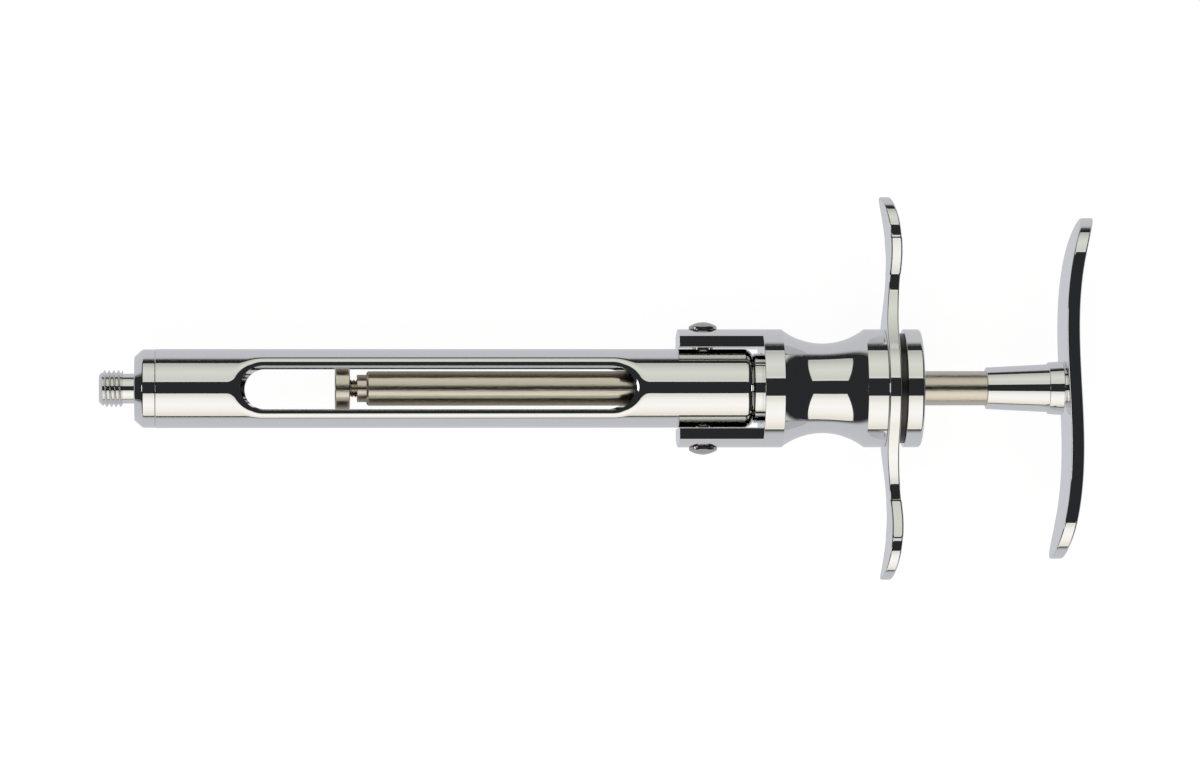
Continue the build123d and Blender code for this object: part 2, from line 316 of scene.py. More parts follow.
def thread_height(x, angle):
    """Radius of the thread's surface, its crests and roots rounded, its start cut back to a cone."""
    share = (x / thread_pitch - angle / (2 * math.pi)) % 1
    ridge = 0.5 + 0.5 * math.cos(2 * math.pi * share)
    ridge = ridge * ridge * (3 - 2 * ridge) * thread_flatness + ridge * (1 - thread_flatness)
    cone = thread_radius - lead_in + (x + thread_length)
    return min(thread_radius - thread_depth * (1 - ridge), cone)


adaptor = Skin()
turn(
    adaptor,
    profile(
        (0.0, thread_radius - thread_depth),
        (0.0, neck_radius),
        (cap_front, neck_radius, neck_fillet),
        (cap_front, cap_radius - cap_bevel_depth, cap_front_rounding),
        (cap_front + cap_bevel_length, cap_radius, cap_bevel_rounding),
        (barrel_front - cap_seam, cap_radius, cap_rear_rounding),
        (barrel_front - cap_seam, spigot_radius),
        (spigot_rear, spigot_radius, spigot_edge),
        (spigot_rear, cup_radius, spigot_edge),
        (spigot_rear - cup_depth, cup_radius, spigot_edge),
        (spigot_rear - cup_depth, bore_radius),
        (-thread_length + bore_bevel, bore_radius),
        (-thread_length, bore_radius + bore_bevel),
        (-thread_length, thread_radius - lead_in),
    ),
)
rows = []
thread_segments = 160
thread_rows = 110
length_nudge = 1e-7
angle_nudge = 1e-4
for row in range(thread_rows + 1):
    x = -thread_length + thread_length * row / thread_rows
    ring = []
    for k in range(thread_segments):
        a = 2 * math.pi * k / thread_segments
        r = thread_height(x, a)
        rise = thread_height(x + length_nudge, a) - thread_height(x - length_nudge, a)
        slope_x = rise / (2 * length_nudge)
        rise = thread_height(x, a + angle_nudge) - thread_height(x, a - angle_nudge)
        slope_a = rise / (2 * angle_nudge) / r
        out = Vector((0, math.cos(a), math.sin(a)))
        along = Vector((0, -math.sin(a), math.cos(a)))
        ring.append((Vector((x, 0, 0)) + out * r, out - along * slope_a - Vector((slope_x, 0, 0))))
    rows.append(ring)
adaptor.grid(rows, closed=True)
thread_end = [((0.0, point.y, point.z), (1, 0, 0)) for point, _ in rows[-1]]
shelf = []
for k in range(thread_segments):
    a = 2 * math.pi * k / thread_segments
    out = Vector((0, math.cos(a), math.sin(a)))
    shelf.append((out * (thread_radius - thread_depth), (1, 0, 0)))
adaptor.grid([thread_end, shelf], closed=True)
adaptor.build("needle_adaptor", chrome, "handle")

# Barrel
# A drawn tube, chrome plated, with a wide loading window milled through its upper side and a
# narrower one opposite. The windows' edges are worn round, and the tube's rear edge is rounded.
barrel_radius = barrel_high.y
barrel_rear = barrel_high.x
barrel_bore = 4.65 * MM
nose_bore = 5.0 * MM
nose_bore_margin = 0.4 * MM
nose_bore_end = spigot_rear + nose_bore_margin
window_from_front = 45.9 * MM
window_centre = barrel_front + window_from_front
# Length and half width of each window, then the width and lean of the worn edge along its sides
# and at its ends.
front_window = (64.1 * MM, 3.6 * MM)
rear_window = (62.8 * MM, 3.27 * MM)
lip_width = (1.5 * MM, 2.3 * MM)
lip_lean = (0.15, 0.71)
lip_steps = 14
rear_rounding = 1.5 * MM
rear_steps = 14
front_rounding = 0.12 * MM
bore_edge = 0.05 * MM
end_band = 0.3 * MM
tube_segments = 240
pivot_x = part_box("pivot_screw_left")[0].x / 2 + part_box("pivot_screw_left")[1].x / 2
pivot_hole = 1.73 * MM
pivot_steps = 48


def inside(point, ring):
    """Is a 2-D point inside a closed ring of points?"""
    odd = False
    for a, b in zip(ring, ring[1:] + ring[:1]):
        if (a[1] > point[1]) != (b[1] > point[1]):
            if point[0] < a[0] + (b[0] - a[0]) * (point[1] - a[1]) / (b[1] - a[1]):
                odd = not odd
    return odd


def sheet(outline, holes, spacing):
    """Triangles that fill an outline around its holes, with a field of points at the given spacing.

    A point of the field that comes nearer to an edge than gap, a share of the spacing, is left out.
    """
    gap = 0.35
    fill_outline = 1
    same_place = 1e-9
    spots = []
    edges = []
    for ring in [outline] + holes:
        start = len(spots)
        spots.extend(Vector(p) for p in ring)
        edges.extend((start + i, start + (i + 1) % len(ring)) for i in range(len(ring)))
    low = [min(p[i] for p in outline) for i in (0, 1)]
    high = [max(p[i] for p in outline) for i in (0, 1)]
    counts = [max(1, round((high[i] - low[i]) / spacing[i])) for i in (0, 1)]

    def cell(p):
        return int((p.x - low[0]) // spacing[0]), int((p.y - low[1]) // spacing[1])

    near = {}
    for p in spots:
        near.setdefault(cell(p), []).append(p)
    for i in range(1, counts[0]):
        x = low[0] + (high[0] - low[0]) * i / counts[0]
        for j in range(1, counts[1]):
            p = Vector((x, low[1] + (high[1] - low[1]) * j / counts[1]))
            across, up = cell(p)
            around = [q for u in (-1, 0, 1) for v in (-1, 0, 1) for q in near.get((across + u, up + v), [])]
            if all(abs(q.x - p.x) >= gap * spacing[0] or abs(q.y - p.y) >= gap * spacing[1] for q in around):
                spots.append(p)
    found, _, triangles, *_ = delaunay_2d_cdt(spots, edges, [], fill_outline, same_place)
    reach = [[(min(p[i] for p in hole), max(p[i] for p in hole)) for i in (0, 1)] for hole in holes]
    kept = []
    for triangle in triangles:
        middle = sum((found[i] for i in triangle), Vector((0, 0))) / len(triangle)
        cut = False
        for hole, (across, up) in zip(holes, reach):
            if across[0] < middle.x < across[1] and up[0] < middle.y < up[1]:
                cut = cut or inside(middle, hole)
        if not cut:
            kept.append([found[i] for i in triangle])
    return kept


def slot_ring(length, half_width, steps=40, straight=60):
    """Points and normals round a slot with round ends, in plan."""
    ring = []
    reach = length / 2 - half_width
    for end in (1, -1):
        for k in range(steps + 1):
            a = -math.pi / 2 + math.pi * k / steps
            out = Vector((math.cos(a) * end, math.sin(a) * end))
            ring.append((Vector((window_centre + reach * end, 0)) + out * half_width, out))
        for k in range(1, straight):
            x = window_centre + reach * end * (1 - 2 * k / straight)
            ring.append((Vector((x, half_width * end)), Vector((0, end))))
    return ring


barrel = Skin()
rear_curve = barrel_rear - rear_rounding
turn(
    barrel,
    profile(
        (rear_curve, barrel_radius),
        (barrel_rear, barrel_radius, rear_rounding),
        (barrel_rear, barrel_bore, bore_edge),
        (barrel_rear - end_band, barrel_bore),
        steps=rear_steps,
    )[1:],
    segments=tube_segments,
)
turn(
    barrel,
    profile(
        (nose_bore_end + end_band, barrel_bore),
        (nose_bore_end, barrel_bore),
        (nose_bore_end, nose_bore),
        (barrel_front, nose_bore),
        (barrel_front, barrel_radius, front_rounding),
        (barrel_front + front_rounding, barrel_radius),
    )[:-1],
    segments=tube_segments,
)
seam_angle = math.radians(-60)
angle_step = math.radians(360 / tube_segments)
length_step = 1.2 * MM


def on_tube(x, angle, radius, facing=1):
    """A corner on a tube, its angle counted from +Z towards +Y."""
    out = Vector((0, math.sin(angle), math.cos(angle)))
    return (Vector((x, 0, 0)) + out * radius, out * facing)


def tube_wall(skin, radius, start, end, facing, cuts):
    """The outer or inner face of the tube, with the cuts left open. A cut is a ring of (x, angle)."""
    lengths = round((end - start) / length_step)
    low, high = start / length_step, end / length_step
    left, right = seam_angle / angle_step, seam_angle / angle_step + tube_segments
    outline = [(low, left + k) for k in range(tube_segments)]
    outline += [(low + (high - low) * k / lengths, right) for k in range(lengths)]
    outline += [(high, right - k) for k in range(tube_segments)]
    outline += [(high - (high - low) * k / lengths, left) for k in range(lengths)]
    holes = [[(x / length_step, angle / angle_step) for x, angle in cut] for cut in cuts]
    for triangle in sheet(outline, holes, (1, 1)):
        skin.face(*[on_tube(p.x * length_step, p.y * angle_step, radius, facing) for p in triangle])


def lip(size, top):
    """Rows of corners round a window, from the tube's surface over the worn edge to the wall.

    The edge leans more and is wider at the window's ends than along its sides.
    """
    side = 1 if top else -1
    columns = []
    for p, out in slot_ring(*size):
        end = out.x**2
        width = lip_width[0] + (lip_width[1] - lip_width[0]) * end
        lean = lip_lean[0] + (lip_lean[1] - lip_lean[0]) * end
        q = p + out * width
        height = math.sqrt(barrel_radius**2 - q.y**2)
        column = [Vector((q.x, q.y, height))]
        slope = q.y * out.y / height
        for k in range(1, lip_steps + 1):
            share = 1 - k / lip_steps
            q = p + out * width * share
            tube = math.sqrt(barrel_radius**2 - q.y**2)
            tube_sine = math.sin(math.atan(q.y * out.y / tube))
            sine = -lean + (tube_sine + lean) * share * share * (3 - 2 * share)
            slope_here = math.tan(math.asin(sine))
            height += (slope + slope_here) / 2 * width / lip_steps
            slope = slope_here
            column.append(Vector((q.x, q.y, height)))
        columns.append(column)
    rows = []
    for k in range(lip_steps + 1):
        row = []
        for i, column in enumerate(columns):
            point = column[k]
            if k:
                along = columns[(i + 1) % len(columns)][k] - columns[i - 1][k]
                normal = along.cross(column[min(k + 1, lip_steps)] - column[k - 1])
                normal *= 1 if normal.z > 0 else -1
            else:
                normal = Vector((0, point.y, point.z))
            mirror = Vector((1, 1, side))
            row.append((point * mirror, normal * mirror))
        rows.append(row)
    return rows


def window_angles(ring, top):
    """The places on a tube of points in plan with their heights."""
    return [(x, math.atan2(y, z)) if top else (x, math.atan2(y, z) % (2 * math.pi)) for x, y, z in ring]


def pivot_angles(radius, right):
    """The ring of a pivot hole, as places on a tube of that radius."""
    ring = []
    for k in range(pivot_steps):
        a = 2 * math.pi * k / pivot_steps
        lift = math.asin(pivot_hole * math.sin(a) / radius)
        angle = math.pi / 2 - lift if right else 3 * math.pi / 2 + lift
        ring.append((pivot_x + pivot_hole * math.cos(a), angle))
    return ring


windows = [(front_window, True), (rear_window, False)]
lips = [lip(size, top) for size, top in windows]
outer_cuts = []
inner_cuts = []
for (size, top), rows in zip(windows, lips):
    outer_cuts.append(window_angles([corner[0] for corner in rows[0]], top))
    depth = [math.sqrt(barrel_bore**2 - p.y**2) * (1 if top else -1) for p, _ in slot_ring(*size)]
    inner_cuts.append(window_angles([(p.x, p.y, z) for (p, _), z in zip(slot_ring(*size), depth)], top))
outer_pivots = [pivot_angles(barrel_radius, right) for right in (True, False)]
inner_pivots = [pivot_angles(barrel_bore, right) for right in (True, False)]
outer_cuts += outer_pivots
inner_cuts += inner_pivots
tube_wall(barrel, barrel_radius, barrel_front + front_rounding, rear_curve, 1, outer_cuts)
tube_wall(barrel, barrel_bore, nose_bore_end + end_band, barrel_rear - end_band, -1, inner_cuts)
for outer, inner in zip(outer_pivots, inner_pivots):
    rows = []
    for radius, cut in ((barrel_radius, outer), (barrel_bore, inner)):
        row = []
        for x, angle in cut:
            point, _ = on_tube(x, angle, radius)
            row.append((point, Vector((pivot_x - point.x, 0, -point.z))))
        rows.append(row)
    barrel.grid(rows, closed=True)
for (size, top), rows in zip(windows, lips):
    barrel.grid(rows, closed=True)
    side = 1 if top else -1
    plan = slot_ring(*size)
    top_row = [(corner[0], -Vector((out.x, out.y, 0))) for corner, (_, out) in zip(rows[-1], plan)]
    low_row = [
        (Vector((p.x, p.y, math.sqrt(barrel_bore**2 - p.y**2) * side)), -Vector((out.x, out.y, 0)))
        for p, out in plan
    ]
    barrel.grid([top_row, low_row], closed=True)
barrel.build("barrel", chrome, "handle")

# Hinge body
# The fork and hub, turned from one bar, then milled to two flat-sided ears that hold the barrel
# between them. The hub has a waist between two sharp rims, and is chrome plated.
hub_low, hub_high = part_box("hinge_body")
hub_radius = hub_high.y
hub_rear = hub_high.x
ear_tip = hub_low.x
fork_gap = 1.35 * MM
front_rim = 3.25 * MM
rear_rim = 3.32 * MM
fork_base = barrel_rear + fork_gap
front_rim_end = fork_base + front_rim
rear_rim_start = hub_rear - rear_rim
waist_radius = 7.34 * MM
hub_bore = 5.8 * MM
nut_thread = 6.6 * MM
nut_thread_length = 4.9 * MM
nut_thread_start = hub_rear - nut_thread_length
rim_edge = 0.12 * MM
ear_half_width = 4.72 * MM
ear_flat = 6.53 * MM
ear_corner = 0.12 * MM
ear_edge = 0.14 * MM
ear_steps = 12
ear_spacing = 1.0 * MM
ear_overlap = 0.05 * MM
waist_steps = 24

waist_half = (rear_rim_start - front_rim_end) / 2
waist_depth = hub_radius - waist_radius
waist_arc = (waist_half**2 + waist_depth**2) / (2 * waist_depth)
waist_middle = (front_rim_end + rear_rim_start) / 2
waist_swing = math.asin(waist_half / waist_arc)
waist = []
for k in range(1, 2 * waist_steps):
    a = waist_swing * (k / waist_steps - 1)
    waist.append((waist_middle + waist_arc * math.sin(a), waist_radius + waist_arc * (1 - math.cos(a)), None))
hinge = Skin()
turn(
    hinge,
    profile(
        (fork_base, hub_bore),
        (fork_base, hub_radius, rim_edge),
        (front_rim_end, hub_radius, rim_edge),
        *waist,
        (rear_rim_start, hub_radius, rim_edge),
        (hub_rear, hub_radius, rim_edge),
        (hub_rear, nut_thread),
        (nut_thread_start, nut_thread),
        (nut_thread_start, hub_bore),
        (fork_base, hub_bore),
    ),
    segments=tube_segments,
)


def plate(skin, outline, front, back, front_edge, back_edge, spacing, holes=()):
    """A plate across the X axis.

    Its outline is (point, normal) pairs in Y and Z. Its front and back faces are given as x for each
    (y, z), each with the radius of its rounded edge.
    """
    edge_steps = 6
    sides = []
    for face, edge, facing in ((front, front_edge, -1), (back, back_edge, 1)):
        rows = []
        for step in range(edge_steps + 1 if edge else 1):
            turned = math.pi / 2 * step / edge_steps
            row = []
            for p, out in outline:
                q = p - out * edge * (1 - math.sin(turned))
                x = face(q) - facing * edge * (1 - math.cos(turned))
                normal = tilt(face, q, facing) * math.cos(turned) + flat(out) * math.sin(turned)
                row.append(((x, q.x, q.y), normal))
            rows.append(row)
        skin.grid(rows, closed=True)
        sides.append([(corner[0], flat(out)) for corner, (_, out) in zip(rows[-1], outline)])
        ring = [tuple(p - out * edge) for p, out in outline]
        for triangle in sheet(ring, [[tuple(p) for p, _ in hole] for hole in holes], (spacing, spacing)):
            skin.face(*[((face(p), p.x, p.y), tilt(face, p, facing)) for p in triangle])
    skin.grid(sides, closed=True)
    for hole in holes:
        rims = [[((face(p), p.x, p.y), -flat(out)) for p, out in hole] for face in (front, back)]
        skin.grid(rims, closed=True)


def flat(out):
    """A direction in Y and Z as one in space."""
    return Vector((0, out.x, out.y))


def tilt(face, p, facing):
    """The normal of a face that is given as x for each (y, z)."""
    step = 1e-5
    slope = (face(p + Vector((step, 0))) - face(p - Vector((step, 0)))) / (2 * step)
    return Vector((1, -slope, 0)).normalized() * facing


ear_arc = math.asin(ear_half_width / hub_radius)
apart = 1e-7
for side in (1, -1):
    corners = [(ear_flat, -ear_half_width, ear_corner)]
    corners.append((hub_radius * math.cos(ear_arc), -ear_half_width, ear_corner / 2))
    for k in range(1, 2 * ear_steps):
        a = ear_arc * (k / ear_steps - 1)
        corners.append((hub_radius * math.cos(a), hub_radius * math.sin(a), None))
    corners.append((hub_radius * math.cos(ear_arc), ear_half_width, ear_corner / 2))
    corners.append((ear_flat, ear_half_width, ear_corner))
    corners.reverse()
    outline = []
    for p, normal in profile(*corners, closed=True)[:-1]:
        p = Vector((p.x * side, p.y))
        if not outline or (p - outline[-1][0]).length > apart:
            outline.append((p, Vector((normal.x * side, normal.y))))
    plate(
        hinge,
        outline,
        front=lambda p: ear_tip,
        back=lambda p: fork_base + ear_overlap,
        front_edge=ear_edge,
        back_edge=0.0,
        spacing=ear_spacing,
    )
hinge.build("hinge_body", chrome, "handle")

# Pivot screws
# Two turned screws with raised, slotted heads, which go through the ears into holes in the
# barrel's wall, so the barrel can tilt about them. They have a darker nickel finish.
screw_radius = 2.3 * MM
screw_rim_height = 0.45 * MM
screw_rim = hub_radius + screw_rim_height
head_overhang = 0.6 * MM
half_slot = 0.4 * MM
slot_depth = 0.7 * MM
screw_rounding = 0.12 * MM
rounding_sweep = math.radians(62)
screw_segments = 120
rounding_steps = 5
crown_steps = 12
slot_steps = 40


def ground_steel(name, tint, roughness, stretch=(1, 1, 1)):
    """Bare or nickelled steel with fine scratches from turning and a little wear."""
    finish = Finish(name)
    lines = finish.noise(tuple(2500 * s for s in stretch), detail=6)
    cloud = finish.noise(300, detail=4)
    bump = {"Height": lines, "Strength": 0.25, "Distance": 0.00004}
    finish.set(
        Base_Color=finish.mix(cloud, tuple(c * 0.85 for c in tint) + (1,), tint + (1,)),
        Metallic=1.0,
        Roughness=lines * 0.12 + (roughness - 0.06),
        Normal=finish.node("ShaderNodeBump", inputs=bump),
    )
    return finish.material


def pivot_screw(name):
    """One screw, its head away from the axis and its slot along the syringe."""
    low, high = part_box(name)
    side = 1 if high.y > 0 else -1
    middle_x = (low.x + high.x) / 2
    crown = max(abs(low.y), abs(high.y))
    tip = min(abs(low.y), abs(high.y))
    shank = (high.x - low.x) / 2 - head_overhang
    dome = (screw_radius**2 + (crown - screw_rim) ** 2) / (2 * (crown - screw_rim))
    rim_foot = screw_rim - screw_rounding

    def dome_height(u, v):
        """Height of the domed head above the syringe's axis."""
        return crown - dome + math.sqrt(dome**2 - u * u - v * v)

    def corner(u, v, height, normal):
        """A corner of the screw: u along the syringe, v across it, height away from the axis."""
        return ((middle_x + u, height * side, v * side), (normal[0], normal[2] * side, normal[1] * side))

    def circle_at(radius, height, outward, upward):
        """A ring of corners round the screw, with the share of its normals that points out and up."""
        ring = []
        for k in range(screw_segments):
            a = 2 * math.pi * k / screw_segments
            u, v = math.cos(a), math.sin(a)
            ring.append(corner(radius * u, radius * v, height, (u * outward, v * outward, upward)))
        return ring

    screw = Skin()
    top_of_shank = circle_at(shank, hub_radius, 1, 0)
    screw.grid([circle_at(shank, tip, 1, 0), top_of_shank], closed=True)
    screw.grid([top_of_shank, circle_at(screw_radius, hub_radius, 0, -1)], closed=True)
    screw.grid(
        [circle_at(screw_radius, hub_radius, 1, 0), circle_at(screw_radius, rim_foot, 1, 0)],
        closed=True,
    )
    slot_turn = math.asin(half_slot / screw_radius)
    half_turn = screw_segments // 2
    arc = [slot_turn + (math.pi - 2 * slot_turn) * k / half_turn for k in range(half_turn + 1)]
    crown_radius = screw_radius - screw_rounding * (1 - math.cos(rounding_sweep))
    crown_foot = rim_foot + screw_rounding * math.sin(rounding_sweep)
    slot_end = crown_radius * math.cos(slot_turn)
    along_slot = [slot_end * (1 - 2 * k / slot_steps) for k in range(slot_steps + 1)]
    slot_floor = crown - slot_depth
    for half in (1, -1):
        rounding = []
        for step in range(rounding_steps + 1):
            swung = rounding_sweep * step / rounding_steps
            radius = screw_radius - screw_rounding * (1 - math.cos(swung))
            height = rim_foot + screw_rounding * math.sin(swung)
            row = []
            for a in arc:
                u, v = math.cos(a), math.sin(a) * half
                normal = (u * math.cos(swung), v * math.cos(swung), math.sin(swung))
                row.append(corner(radius * u, radius * v, height, normal))
            rounding.append(row)
        screw.grid(rounding)
        crown_rows = []
        for step in range(crown_steps + 1):
            share = 1 - step / crown_steps
            row = []
            for a in arc:
                u = crown_radius * math.cos(a) * share
                v = (half_slot + (crown_radius * math.sin(a) - half_slot) * share) * half
                height = dome_height(u, v) if step else crown_foot
                row.append(corner(u, v, height, (u, v, height - crown + dome)))
            crown_rows.append(row)
        screw.grid(crown_rows)
        wall = (0, -half, 0)
        wall_top = [corner(u, half_slot * half, dome_height(u, half_slot), wall) for u in along_slot]
        wall_foot = [corner(u, half_slot * half, slot_floor, wall) for u in along_slot]
        screw.grid([wall_top, wall_foot])
    up = (0, 0, 1)
    screw.grid([[corner(u, half_slot * half, slot_floor, up) for u in along_slot] for half in (1, -1)])
    return screw


screw_metal = ground_steel("pivot_screw_steel", tint=(0.55, 0.53, 0.50), roughness=0.2)
for screw_name in ("pivot_screw_left", "pivot_screw_right"):
    pivot_screw(screw_name).build(screw_name, screw_metal, "handle")

# Lock sleeve
# A sprung sleeve turned in one piece: its spigot reaches into the barrel's rear and holds it in
# line, its flange shows between barrel and fork, and its tube guides the spring.
sleeve_low, sleeve_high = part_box("lock_sleeve")
flange_radius = sleeve_high.y
flange_length = 3.5 * MM
flange_front = barrel_rear
flange_rear = flange_front + flange_length
spigot_play = 0.05 * MM
spigot_fit = barrel_bore - spigot_play
tube_radius = 3.6 * MM
rod_bore = 2.89 * MM
turned_edge = 0.15 * MM

sleeve = Skin()
turn(
    sleeve,
    profile(
        (sleeve_low.x, rod_bore),
        (sleeve_low.x, spigot_fit, turned_edge),
        (flange_front, spigot_fit),
        (flange_front, flange_radius, turned_edge),
        (flange_rear, flange_radius, turned_edge),
        (flange_rear, tube_radius, turned_edge),
        (sleeve_high.x, tube_radius, turned_edge),
        (sleeve_high.x, rod_bore),
        (sleeve_low.x, rod_bore),
    ),
)
sleeve.build("lock_sleeve", chrome, "sleeve")

# Lock spring
# A coil of round spring steel wire between the sleeve's flange and the nut. It shortens as the
# sleeve is drawn back.
coil_low, coil_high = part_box("lock_spring")
wire_radius = 0.4 * MM
coil_radius = coil_high.y - wire_radius
coil_turns = 6
wire_sides = 14
steps_per_turn = 60
coil_steps = coil_turns * steps_per_turn

spring = Skin()
coil_length = coil_high.x - coil_low.x - 2 * wire_radius
pitch_angle = math.atan2(coil_length / coil_turns, 2 * math.pi * coil_radius)
rows = []
for k in range(coil_steps + 1):
    a = 2 * math.pi * k / steps_per_turn
    out = Vector((0, math.cos(a), math.sin(a)))
    round_coil = Vector((0, -math.sin(a), math.cos(a)))
    along = round_coil * math.cos(pitch_angle) + Vector((math.sin(pitch_angle), 0, 0))
    side = along.cross(out)
    middle = Vector((coil_low.x + wire_radius + coil_length * k / coil_steps, 0, 0)) + out * coil_radius
    ring = []
    for j in range(wire_sides):
        b = 2 * math.pi * j / wire_sides
        normal = out * math.cos(b) + side * math.sin(b)
        ring.append((middle + normal * wire_radius, normal))
    rows.append(ring)
spring.grid(rows, closed=True)
for ring, facing in ((rows[0], -1), (rows[-1], 1)):
    spring.face(*[(point, Vector((0, 0, facing))) for point, _ in ring])
spring_steel = ground_steel("lock_spring_steel", tint=(0.50, 0.50, 0.50), roughness=0.3)
spring_piece = spring.build("lock_spring", spring_steel, "handle")
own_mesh(spring_piece)

# End nut
# A round nut, turned and chrome plated. Its threaded spigot goes through the finger rest into
# the hub, and its bore takes the guide bush.
nut_low, nut_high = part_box("end_nut")
nut_radius = nut_high.y
nut_head = 2.8 * MM
nut_spigot = 6.57 * MM
nut_spigot_edge = 0.3 * MM
nut_front_edge = 0.12 * MM
nut_rear_edge = 0.5 * MM
nut_face = nut_high.x - nut_head
bush_low, bush_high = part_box("guide_bush")
bush_radius = bush_high.y
seat_play = 0.02 * MM
bush_seat = bush_radius + seat_play
bush_seat_edge = 0.1 * MM
seal_low, seal_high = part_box("rod_seal")
seal_play = 0.05 * MM
shoulder = seal_low.x - seal_play
shoulder_bore = 2.94 * MM

nut = Skin()
turn(
    nut,
    profile(
        (nut_low.x, shoulder_bore),
        (nut_low.x, nut_spigot, nut_spigot_edge),
        (nut_face, nut_spigot),
        (nut_face, nut_radius, nut_front_edge),
        (nut_high.x, nut_radius, nut_rear_edge),
        (nut_high.x, bush_seat, bush_seat_edge),
        (shoulder, bush_seat),
        (shoulder, shoulder_bore),
        (nut_low.x, shoulder_bore),
        steps=10,
    ),
    segments=tube_segments,
)
nut.build("end_nut", chrome, "handle")

# Guide bush
# A plain bearing turned from brass and pressed into the nut. The rod runs in it.
bush_edge = 0.2 * MM
bush = Skin()
turn(
    bush,
    profile(
        (bush_low.x, rod_bore),
        (bush_low.x, bush_radius),
        (bush_high.x, bush_radius, bush_edge),
        (bush_high.x, rod_bore, bush_edge),
        (bush_low.x, rod_bore),
    ),
)
brass = ground_steel("bush_brass", tint=(0.62, 0.45, 0.20), roughness=0.28, stretch=(0.2, 1, 1))
bush.build("guide_bush", brass, "handle")

# Rod seal
# A moulded ring of black rubber behind the bush. It grips the rod, so the plunger drags.
seal_wire = (seal_high.x - seal_low.x) / 2
seal_middle = Vector(((seal_low.x + seal_high.x) / 2, seal_high.y - seal_wire))
seal_steps = 48
seal = Skin()
section = []
for k in range(seal_steps + 1):
    a = 2 * math.pi * k / seal_steps
    out = Vector((-math.cos(a), math.sin(a)))
    section.append((seal_middle + out * seal_wire, out))
turn(seal, section)
rubber = Finish("seal_rubber")
grain = rubber.noise(3000, detail=5)
rubber.set(
    Base_Color=rubber.mix(grain, (0.010, 0.010, 0.011, 1), (0.028, 0.027, 0.027, 1)),
    Roughness=grain * 0.2 + 0.45,
    Normal=rubber.node("ShaderNodeBump", inputs={"Height": grain, "Strength": 0.3, "Distance": 0.00005}),
)
seal.build("rod_seal", rubber.material, "seal")

# Finger rest
# A steel plate pressed to a shallow double bend, cut to a disc with a wing on each side, its
# edges rounded and polished before plating. It is clamped between the hub and the end nut.
rest_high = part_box("finger_rest")[1]
plate_thickness = 2.0 * MM
plate_middle = hub_rear + plate_thickness / 2
wing_thickness = 1.8 * MM
plate_disc = rest_high.z
plate_flat = 9.0 * MM
wing_span = rest_high.y
wing_end = 5.4 * MM
wing_neck = (16.7 * MM, 3.35 * MM)
wing_rise = 0.45 * MM
wing_crest = (22.2 * MM, 0.78 * MM)
wing_drop = 0.85 * MM
wing_tip_slope = -0.42
plate_edge = 0.3 * MM
plate_hole = 6.62 * MM
plate_spacing = 1.1 * MM
disc_leave = math.radians(52)
lobe_join = math.radians(100)
bend_steps = 60
outline_steps = 20
lobe_steps = 24


def spline(points, tangents, count):
    """Points on a smooth curve through the given ones, with the directions it starts and ends in."""
    spots = [Vector(p) for p in points]
    reaches = [(b - a).length for a, b in zip(spots, spots[1:])]
    slopes = [Vector(tangents[0]).normalized()]
    for i in range(1, len(spots) - 1):
        before, after = (spots[i] - spots[i - 1]) / reaches[i - 1], (spots[i + 1] - spots[i]) / reaches[i]
        slopes.append((before * reaches[i] + after * reaches[i - 1]) / (reaches[i] + reaches[i - 1]))
    slopes.append(Vector(tangents[1]).normalized())
    path = []
    for i, reach in enumerate(reaches):
        for k in range(count):
            t = k / count
            path.append(
                spots[i] * (2 * t**3 - 3 * t**2 + 1)
                + slopes[i] * reach * (t**3 - 2 * t**2 + t)
                + spots[i + 1] * (3 * t**2 - 2 * t**3)
                + slopes[i + 1] * reach * (t**3 - t**2)
            )
    return path + [spots[-1]]


def bent(path):
    """A face whose x is read off a path of (y, x) points, the same on both sides."""

    def face(p):
        y = abs(p.x)
        if y <= path[0][0]:
            return path[0][1]
        for a, b in zip(path, path[1:]):
            if y <= b[0]:
                break
        return a[1] + (b[1] - a[1]) * (y - a[0]) / (b[0] - a[0])

    return face


def circle(radius, count=120):
    """Points and outward normals round a circle on the axis."""
    around = [2 * math.pi * k / count for k in range(count)]
    ways = [Vector((math.cos(a), math.sin(a))) for a in around]
    return [(way * radius, way) for way in ways]


bends = []
for facing in (-1, 1):
    face_of_disc = plate_middle + facing * plate_thickness / 2
    face_of_wing = plate_middle + facing * wing_thickness / 2
    bends.append(
        spline(
            [
                (plate_flat, face_of_disc),
                (wing_neck[0], face_of_wing + wing_rise),
                (wing_crest[0], face_of_wing + wing_crest[1]),
                (wing_span, face_of_wing - wing_drop),
            ],
            tangents=[(1, 0), (1, wing_tip_slope)],
            count=bend_steps,
        )
    )
quarter = []
for k in range(outline_steps):
    a = math.pi / 2 + (disc_leave - math.pi / 2) * k / outline_steps
    quarter.append(Vector((math.cos(a), math.sin(a))) * plate_disc)
lobe_middle = Vector((wing_span - wing_end, 0))
lobe_start = lobe_middle + Vector((math.cos(lobe_join), math.sin(lobe_join))) * wing_end
leave = Vector((math.cos(disc_leave), math.sin(disc_leave))) * plate_disc
quarter += spline(
    [leave, wing_neck, lobe_start],
    tangents=[(math.sin(a), -math.cos(a)) for a in (disc_leave, lobe_join)],
    count=outline_steps,
)[:-1]
for k in range(lobe_steps + 1):
    a = lobe_join * (1 - k / lobe_steps)
    quarter.append(lobe_middle + Vector((math.cos(a), math.sin(a))) * wing_end)


